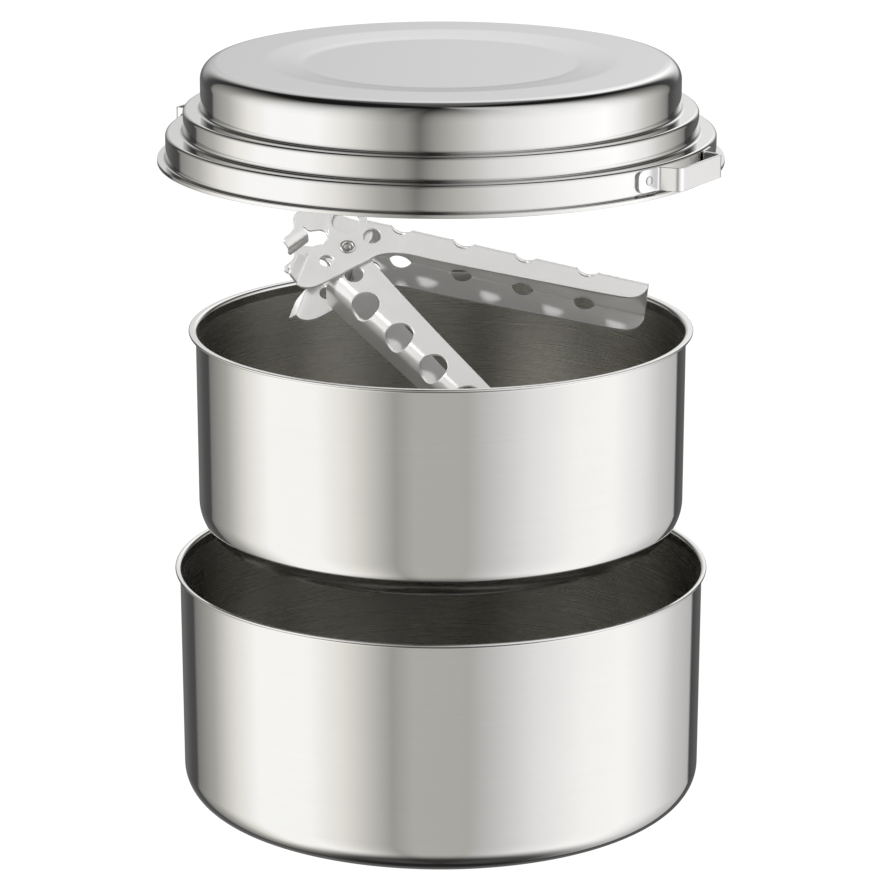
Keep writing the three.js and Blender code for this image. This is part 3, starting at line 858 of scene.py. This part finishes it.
def within(points, loop):
    """Which points lie inside a closed outline."""
    p, a = np.asarray(points, float), np.asarray(loop, float)
    b = np.roll(a, -1, axis=0)
    x, y = p[:, :1], p[:, 1:]
    rise = b[:, 1] - a[:, 1]
    rise = np.where(rise == 0, 1e-12, rise)
    spans = (a[:, 1] > y) != (b[:, 1] > y)
    crossed = spans & (x < (b[:, 0] - a[:, 0]) * (y - a[:, 1]) / rise + a[:, 0])
    return crossed.sum(axis=1) % 2 == 1


def clear_of(points, loop, gap):
    """Which points lie at least the gap away from a closed outline."""
    p, a = np.asarray(points, float), np.asarray(loop, float)
    ab = np.roll(a, -1, axis=0) - a
    ap = p[:, None, :] - a[None, :, :]
    t = np.clip((ap * ab).sum(2) / np.maximum((ab * ab).sum(1), 1e-12), 0, 1)
    distance = np.linalg.norm(ap - ab[None] * t[..., None], axis=2)
    return distance.min(axis=1) >= gap


def spaced(points, gap=0.3):
    """The points, last first, without those that fall nearly on one already taken."""
    taken, out = {}, []
    for p in reversed(points):
        column, row = int(math.floor(p[0] / gap)), int(math.floor(p[1] / gap))
        near = []
        for i in (-1, 0, 1):
            for j in (-1, 0, 1):
                near += taken.get((column + i, row + j), ())
        if all((p[0] - q[0]) ** 2 + (p[1] - q[1]) ** 2 >= gap * gap for q in near):
            taken.setdefault((column, row), []).append(p)
            out.append(p)
    return out


def triangle_edges(triangle):
    """A triangle's edges, each with its lower index first."""
    ends = [(triangle[i], triangle[i - 1]) for i in range(3)]
    return [(min(a, b), max(a, b)) for a, b in ends]


def without_slivers(faces, flat):
    """Drops the triangles of almost no height that lie between points of a straight rim."""
    while True:
        uses = {}
        for triangle in faces:
            for edge in triangle_edges(triangle):
                uses[edge] = uses.get(edge, 0) + 1

        def sliver(triangle):
            a, b, c = (flat[i] for i in triangle)
            area = abs((b[0] - a[0]) * (c[1] - a[1]) - (b[1] - a[1]) * (c[0] - a[0]))
            longest = max(np.linalg.norm(b - a), np.linalg.norm(c - b), np.linalg.norm(a - c))
            on_rim = any(uses[edge] == 1 for edge in triangle_edges(triangle))
            return on_rim and area < 0.003 * longest

        kept = [triangle for triangle in faces if not sliver(triangle)]
        if len(kept) == len(faces):
            return kept
        faces = kept


def flat_sheet(outline, holes, fill):
    """Triangles over the outline less its holes; the fill points let the folds come out round."""
    points, edges = [], []
    for loop in [outline] + holes:
        start = len(points)
        points += [Vector(p) for p in loop]
        edges += [(start + i, start + (i + 1) % len(loop)) for i in range(len(loop))]
    fill = spaced(fill)
    keep = within(fill, outline) & clear_of(fill, outline, 0.8)
    for hole in holes:
        keep &= ~within(fill, hole) & clear_of(fill, hole, 0.5)
    points += [Vector(p) for p, kept in zip(fill, keep) if kept]
    verts, _, triangles, *_ = geometry.delaunay_2d_cdt(points, edges, [], 0, 1e-5)
    flat = np.array([(p.x, p.y) for p in verts])
    middle = flat[np.array(triangles)].mean(axis=1)
    solid = within(middle, outline)
    for hole in holes:
        solid &= ~within(middle, hole)
    faces = without_slivers([tuple(t) for t, kept in zip(triangles, solid) if kept], flat)
    used = sorted({i for triangle in faces for i in triangle})
    place = {i: k for k, i in enumerate(used)}
    return [(verts[i].x, verts[i].y) for i in used], [tuple(place[i] for i in t) for t in faces]


class Channel:
    """Upper plate, web and lower plate joined by two round bends.

    q is the distance across the flat sheet from the upper plate's bend line: negative on the
    upper plate, past the total on the lower one. back is the web's side along y, 1 or -1.
    """

    def __init__(self, dims, back):
        self.back = back
        self.width = dims.width
        self.bend = dims.bend
        self.bend_y = dims.fold - back * dims.bend
        self.radius = dims.bend - SHEET / 2
        self.arc = self.radius * math.pi / 2
        self.web = dims.width - 2 * dims.bend
        self.total = 2 * self.arc + self.web

    def unfold(self, point, low):
        """A plate's (x, y) as (x, q)."""
        q = self.back * (point[1] - self.bend_y)
        return (point[0], self.total - q if low else q)

    def unfold_all(self, points, low):
        return [self.unfold(p, low) for p in points]

    def is_low(self, q):
        return q > self.total / 2

    def flat(self, q):
        """y, z where the plates run on flat past their bend lines."""
        low = self.is_low(q)
        y = self.bend_y + self.back * (self.total - q if low else q)
        return y, self.width - SHEET / 2 if low else SHEET / 2

    def folded(self, q):
        """y, z with both bends folded."""
        if q <= 0 or q >= self.total:
            return self.flat(q)
        if q < self.arc:
            angle = q / self.radius
            past, z = self.radius * math.sin(angle), self.bend - self.radius * math.cos(angle)
        elif q <= self.arc + self.web:
            past, z = self.radius, self.bend + (q - self.arc)
        else:
            angle = (q - self.arc - self.web) / self.radius
            past = self.radius * math.cos(angle)
            z = self.width - self.bend + self.radius * math.sin(angle)
        return self.bend_y + self.back * past, z

    def bend_fill(self, x_values, q_values):
        """Close rows of points along both bends."""
        points = []
        for q in q_values:
            points += [(x, q) for x in x_values] + [(x, self.total - q) for x in x_values]
        return points


def grid(x_values, q_values):
    return [(x, q) for x in x_values for q in q_values]


def finish_sheet(name, verts, faces, node, body, even_offset):
    """Gives a folded middle surface its thickness and rounded edges."""
    obj = mesh_object(name, [on_lifter(Vector(v)) for v in verts], faces, [LIFTER_SATIN])
    sheet = obj.modifiers.new("sheet", "SOLIDIFY")
    sheet.thickness = SHEET * MM
    sheet.offset = 0.0
    sheet.use_even_offset = even_offset
    sheet.use_quality_normals = True
    bevel = obj.modifiers.new("edges", "BEVEL")
    bevel.width = 0.2 * MM
    bevel.segments = 3
    bevel.limit_method = "ANGLE"
    bevel.angle_limit = math.radians(50)
    bevel.loop_slide = False
    weighted = obj.modifiers.new("weighted", "WEIGHTED_NORMAL")
    weighted.weight = 60
    weighted.keep_sharp = False
    register(obj, node, body)
    return obj


# The outer arm's jaw tab flares away from the channel beyond a bend line on each plate.
TAB_START = Vector((-12.55, 7.4))
TAB_END = Vector((-13.2, 18.8))
TAB_OUT = Vector((-0.998, -0.055)).normalized()
TAB_ALONG = (TAB_END - TAB_START).normalized()
TAB_LENGTH = (TAB_END - TAB_START).length
TAB_TURN = math.radians(58)
TAB_RADIUS = 0.95
TAB_SETBACK = TAB_RADIUS * math.tan(TAB_TURN / 2)  # from the sharp corner to the bend's start


def tab_point(along, out):
    return TAB_START + TAB_ALONG * along + TAB_OUT * out


def tab_outline():
    """The jaw tab's edge laid flat, as (x, y, corner)."""
    grow = TAB_RADIUS * TAB_TURN - 2 * TAB_SETBACK  # flat length less sharp-corner length
    length = TAB_LENGTH
    edge = [  # along the bend line, out from it, corner
        (0.0, 0.5, 1), (1.6, 3.2, 0), (2.7, 5.0 + grow, 0), (3.5, 5.4 + grow, 1),
        (length - 1.2, 5.4 + grow, 1), (length - 0.5, 5.1 + grow, 0),
        (length - 0.2, 4.3, 0), (length, 0.4, 1),
    ]
    return [(*tab_point(along, out), corner) for along, out, corner in edge]


def bend_tab(x, y):
    """A flat head point with the tab bent: its new x, y and how far it leaves the plate."""
    offset = Vector((x, y)) - TAB_START
    along = offset.dot(TAB_ALONG)
    out = offset.dot(TAB_OUT) + TAB_SETBACK
    if not (out > 0 and -0.6 < along < TAB_LENGTH + 0.6 and x < -12.0):
        return x, y, 0.0
    straight = out - TAB_RADIUS * TAB_TURN
    angle = out / TAB_RADIUS if straight < 0 else TAB_TURN
    reach, lift = TAB_RADIUS * math.sin(angle), TAB_RADIUS * (1 - math.cos(angle))
    if straight > 0:
        reach += straight * math.cos(TAB_TURN)
        lift += straight * math.sin(TAB_TURN)
    p = tab_point(along, reach - TAB_SETBACK)
    return p.x, p.y, lift


def outer_bend_hole(channel, centre_x, low):
    """A hole centred on a bend, laid flat."""
    half = channel.arc / 2
    loop = []
    for k in range(44):
        angle = 2 * math.pi * k / 44
        d = OUTER.hole * math.sin(angle)
        if abs(d) < OUTER.bend:
            q = half * (1 + d / OUTER.bend)
        else:
            q = half + math.copysign(abs(d) - OUTER.bend + half, d)
        x = centre_x + OUTER.hole * math.cos(angle)
        loop.append((x, channel.total - q if low else q))
    return loop


def outer_arm():
    channel = Channel(OUTER, back=-1)
    total, heel_x = channel.total, 3.3
    notch = []  # round cut in the head beside the web's start
    for angle in np.radians(np.linspace(-45.6, 225.6, 30)):
        notch.append((-3.6 + 4.9 * math.cos(angle), -10.4 + 4.9 * math.sin(angle)))
    plate = [(heel_x, channel.bend_y + 0.3), (heel_x, OUTER.fold), *notch]
    plate += spline(OUTER_HEAD + tab_outline() + OUTER_OPEN_EDGE)
    end = [(OUTER.length, q) for q in np.linspace(0.4, total - 0.4, 28)]
    start = [(OUTER.web, q) for q in np.linspace(total + 0.3, -0.3, 28)]
    lower = channel.unfold_all(plate, True)
    outline = channel.unfold_all(plate, False) + end + list(reversed(lower)) + start

    holes = []
    for x, y, radius in [(7.0, -6.8, 3.15), (-5.6, 7.4, 2.45), (0.0, 0.0, PIVOT_HOLE)]:
        for low in (False, True):
            holes.append(channel.unfold_all(circle(x, y, radius, 32), low))
    for i in range(OUTER.holes):
        for low in (False, True):
            holes.append(outer_bend_hole(channel, OUTER.first + i * OUTER.pitch, low))

    fill = grid(np.arange(-21.0, 105.0, 1.7), np.arange(-34.0, total + 34.0, 1.7))
    bend_rows = np.linspace(-0.25, channel.arc + 0.25, 7)
    fill += channel.bend_fill(np.arange(4.0, 104.8, 0.9), bend_rows)
    for out in np.linspace(-0.7, 0.9, 8):
        for along in np.arange(0.4, TAB_LENGTH, 0.6):
            p = tab_point(along, out)
            fill += [channel.unfold(p, False), channel.unfold(p, True)]

    points, faces = flat_sheet(outline, holes, fill)
    verts = []
    for x, q in points:
        if x < 3.45:
            # the head lies flat past the bend line
            y, z = channel.flat(q)
            x, y, lift = bend_tab(x, y)
            z += lift if channel.is_low(q) else -lift
        else:
            y, z = channel.folded(q)
        verts.append((x, y, z))
    return finish_sheet(
        "lifter_arm_outer_pressed", verts, faces, "lifter_outer_arm", "lifter_body",
        even_offset=True,
    )


# The inner arm's jaw flange is rolled 90 degrees into the channel, then runs straight.
FLANGE_X = -17.2
FLANGE_RADIUS, FLANGE_DEPTH = 3.0, 5.6
FLANGE_MIDDLE = FLANGE_RADIUS - SHEET / 2
FLANGE_ROLL = FLANGE_MIDDLE * math.pi / 2
FLANGE_REACH = FLANGE_ROLL + FLANGE_DEPTH - FLANGE_RADIUS  # its length laid flat


def roll_flange(x):
    """A flat flange x as its rolled x and its depth off the plate."""
    along = x - FLANGE_X
    if along < FLANGE_ROLL:
        angle = along / FLANGE_MIDDLE
        return FLANGE_X + FLANGE_MIDDLE * math.sin(angle), FLANGE_MIDDLE * (1 - math.cos(angle))
    return FLANGE_X + FLANGE_MIDDLE, FLANGE_MIDDLE + (along - FLANGE_ROLL)


def inner_plate(channel, low):
    """One plate's outline laid flat, from the far end round the head to the heel."""
    tip = FLANGE_X + FLANGE_REACH
    flange = [(tip - 0.5, 14.35, 1), (tip, 13.9, 1), (tip, 5.9, 1), (tip - 0.5, 5.4, 1)]
    lobe = INNER_LOBE_LOWER if low else INNER_LOBE_UPPER
    edge = INNER_OPEN_EDGE + lobe + INNER_JAW + flange + INNER_HEEL
    return channel.unfold_all(spline(edge), low)


def inner_shoulder_holes(channel):
    """Holes through the upper bend, drilled off square to the plate, laid flat."""
    tilt = INNER.hole_tilt
    q_values = np.linspace(-8.0, channel.arc + 6.0, 400)
    off_axis = []  # distance of each q from the holes' axes, seen along them
    for q in q_values:
        y, z = channel.folded(q)
        across = (y - (INNER.fold - 3.1)) * math.cos(tilt)
        # z and the axis height are both taken from the lifter's origin
        off_axis.append(across + (INNER.near + z - (INNER.near + 0.6)) * math.sin(tilt))
    holes = []
    for i in range(INNER.holes):
        centre_x = INNER.first + i * INNER.pitch
        loop = []
        for x, distance in circle(0.0, 0.0, INNER.hole, 52):
            loop.append((centre_x + x, float(np.interp(distance, off_axis, q_values))))
        holes.append(loop)
    return holes


def inner_arm():
    channel = Channel(INNER, back=1)
    total = channel.total
    upper, lower = inner_plate(channel, False), inner_plate(channel, True)
    heel = 9.0 - channel.bend_y  # how far the heel stands past the bend line
    start = [(INNER.web, q) for q in np.linspace(0.0, total, 44)]
    end = [(INNER.length, q) for q in np.linspace(total - 0.2, 0.2, 36)]
    outline = upper[:-1] + [(4.0, heel), (4.35, heel)] + start[1:-1]
    outline += [(4.35, total - heel), (4.0, total - heel)] + list(reversed(lower[:-1])) + end

    holes = inner_shoulder_holes(channel)
    holes.append(channel.unfold_all(circle(9.2, 5.3, 3.3, 32), False))
    for low in (False, True):
        holes.append(channel.unfold_all(circle(0.0, 0.0, PIVOT_HOLE, 28), low))

    fill = grid(np.arange(-24.0, 102.0, 1.7), np.arange(-18.0, total + 18.0, 1.7))
    bend_rows = np.linspace(-0.3, channel.arc + 0.3, 15)
    fill += channel.bend_fill(np.arange(5.0, 101.2, 1.0), bend_rows)
    for along in np.linspace(-0.2, FLANGE_REACH - 0.2, 14):
        for y in np.arange(5.8, 14.0, 0.7):
            p = (FLANGE_X + along, y)
            fill += [channel.unfold(p, False), channel.unfold(p, True)]

    points, faces = flat_sheet(outline, holes, fill)
    verts = []
    for x, q in points:
        if x < 4.5:
            # the head lies flat past the bend line, but for the jaw flange
            y, z = channel.flat(q)
            if 5.3 <= y <= 14.5 and FLANGE_X < x < -10.0:
                x, depth = roll_flange(x)
                z += -depth if channel.is_low(q) else depth
        else:
            y, z = channel.folded(q)
        verts.append((*rotate(x, y, OPEN_ANGLE), z + INNER.near))
    return finish_sheet(
        "lifter_arm_inner_pressed", verts, faces, "lifter_inner_arm", "lifter_arm_body",
        even_offset=False,
    )


PIN_GAP = 0.06  # between the pin's rims and the plates
# radius, depth below the plate's face
PIN_HOLLOW = [(0.0, 0.5), (0.9, 0.5), (1.2, 0.44), (1.3, 0.3), (1.42, 0.0)]
# radius, height above the gap
PIN_RIM = [
    (1.56, 0.22), (1.78, 0.43), (2.05, 0.54), (2.3, 0.52), (2.53, 0.42), (2.68, 0.26),
    (2.74, 0.1), (2.7, 0.0), (1.9, 0.0),
]


def pivot_pin():
    """Spool rivet: hollow at both ends, its rims rolled over."""
    half = PIN_HOLLOW + [(r, -height - PIN_GAP) for r, height in PIN_RIM]
    profile = half + [(r, OUTER.width - z) for r, z in reversed(half)]
    verts, faces, _ = revolve(profile, segments=48)
    verts = [on_lifter(Vector(v)) for v in verts]
    obj = mesh_object("lifter_pin_rolled", verts, faces, [PIN_STEEL])
    outward(obj)
    register(obj, "lifter_pivot_rivet", "lifter_body")
    return obj


# ---- build -----------------------------------------------------------------------
studio_world()
pot("large_pot_turned", LARGE, "large_pot", "large_pot_body")
pot("small_pot_turned", SMALL, "small_pot", "small_pot_body")
lid_shell()
straps = []
for azimuth, side_name in zip(BRACKET.azimuths, ("right", "left")):
    straps.append(strap(f"bracket_{side_name}_bent", azimuth, f"lid_bracket_{side_name}"))
for bracket, azimuth in enumerate(BRACKET.azimuths):
    rivet(2 * bracket + 1, azimuth, side=-1)
    rivet(2 * bracket + 2, azimuth, side=1)
lifter_parts = [outer_arm(), inner_arm(), pivot_pin()]


# ---- floor, lights, camera: in metres but for the floor's mesh -------------------------
def floor():
    """A pale floor that glows evenly and stays out of reflections."""
    half = 4000
    material, n, position = new_material("pale_floor")
    mottled = n.noise(position, scale=3.0, detail=3.0, roughness=0.5)
    shade = n.plus(0.985, n.times(mottled, 0.02))
    colour = n.combine(shade, shade, shade)
    glow = n.add("ShaderNodeEmission", {"Color": colour, "Strength": 0.99})
    soft = n.add("ShaderNodeBsdfDiffuse", {"Color": (0.12, 0.12, 0.12, 1)})
    both = n.add("ShaderNodeAddShader", {0: glow.outputs[0], 1: soft.outputs[0]})
    n.add("ShaderNodeOutputMaterial", {"Surface": both.outputs[0]})
    verts = [(-half, -half, 0), (half, -half, 0), (half, half, 0), (-half, half, 0)]
    obj = mesh_object("floor", verts, [(0, 1, 2, 3)], [material], smooth=False)
    obj.location.z = -0.0001
    obj.visible_glossy = False
    obj.visible_shadow = False
    obj.visible_diffuse = False


def area_light(name, location, target, size, energy, receivers, glossy=True, diffuse=True):
    """A rectangular light that reaches only its receivers."""
    data = bpy.data.lights.new(name, "AREA")
    data.shape = "RECTANGLE"
    data.size, data.size_y = size
    data.energy = energy
    obj = bpy.data.objects.new(name, data)
    scene.collection.objects.link(obj)
    obj.location = location
    aim = Vector(target) - Vector(location)
    obj.rotation_euler = aim.to_track_quat("-Z", "Y").to_euler()
    group = bpy.data.collections.new(name + "_receivers")
    for receiver in receivers:
        group.objects.link(receiver)
    obj.light_linking.receiver_collection = group
    obj.visible_glossy = glossy
    obj.visible_diffuse = diffuse


def camera():
    data = bpy.data.cameras.new("camera")
    data.sensor_width = 36.0
    data.lens = 163.64
    data.shift_x = -0.001
    data.clip_start, data.clip_end = 0.05, 30.0
    obj = bpy.data.objects.new("camera", data)
    scene.collection.objects.link(obj)
    obj.location = (0.0, -1.334, 0.49949)
    obj.rotation_euler = (math.radians(74.394), 0.0, 0.0)
    scene.camera = obj


floor()
area_light(
    "overhead", location=(0.0, -0.25, 1.1), target=(0.0, 0.0, 0.15),
    size=(0.9, 0.7), energy=0.2, receivers=lifter_parts,
)
# the key is two lights in one place: one for the shading, a larger one for the shine
KEY = dict(location=(-0.40, -0.29, 1.05), target=(0.0, 0.0, 0.18), receivers=lifter_parts)
area_light("key_left", size=(0.08, 0.08), energy=8.8, glossy=False, **KEY)
area_light("key_left_shine", size=(0.13, 0.13), energy=3.0, diffuse=False, **KEY)
area_light(
    "front", location=(0.05, -1.0, 0.36), target=(0.0, 0.0, 0.18),
    size=(0.3, 0.2), energy=0.3, receivers=lifter_parts,
)
area_light(
    "rim_left", location=(-0.66, 0.92, 0.33), target=(-0.04, 0.03, 0.19),
    size=(0.4, 0.5), energy=0.8, receivers=lifter_parts,
)
area_light(
    "bracket_fill", location=(0.95, 0.42, 0.05), target=(0.08, -0.05, 0.23),
    size=(0.5, 0.5), energy=0.22, receivers=straps,
)
camera()

scene.view_settings.view_transform = "Standard"
scene.view_settings.look = "None"
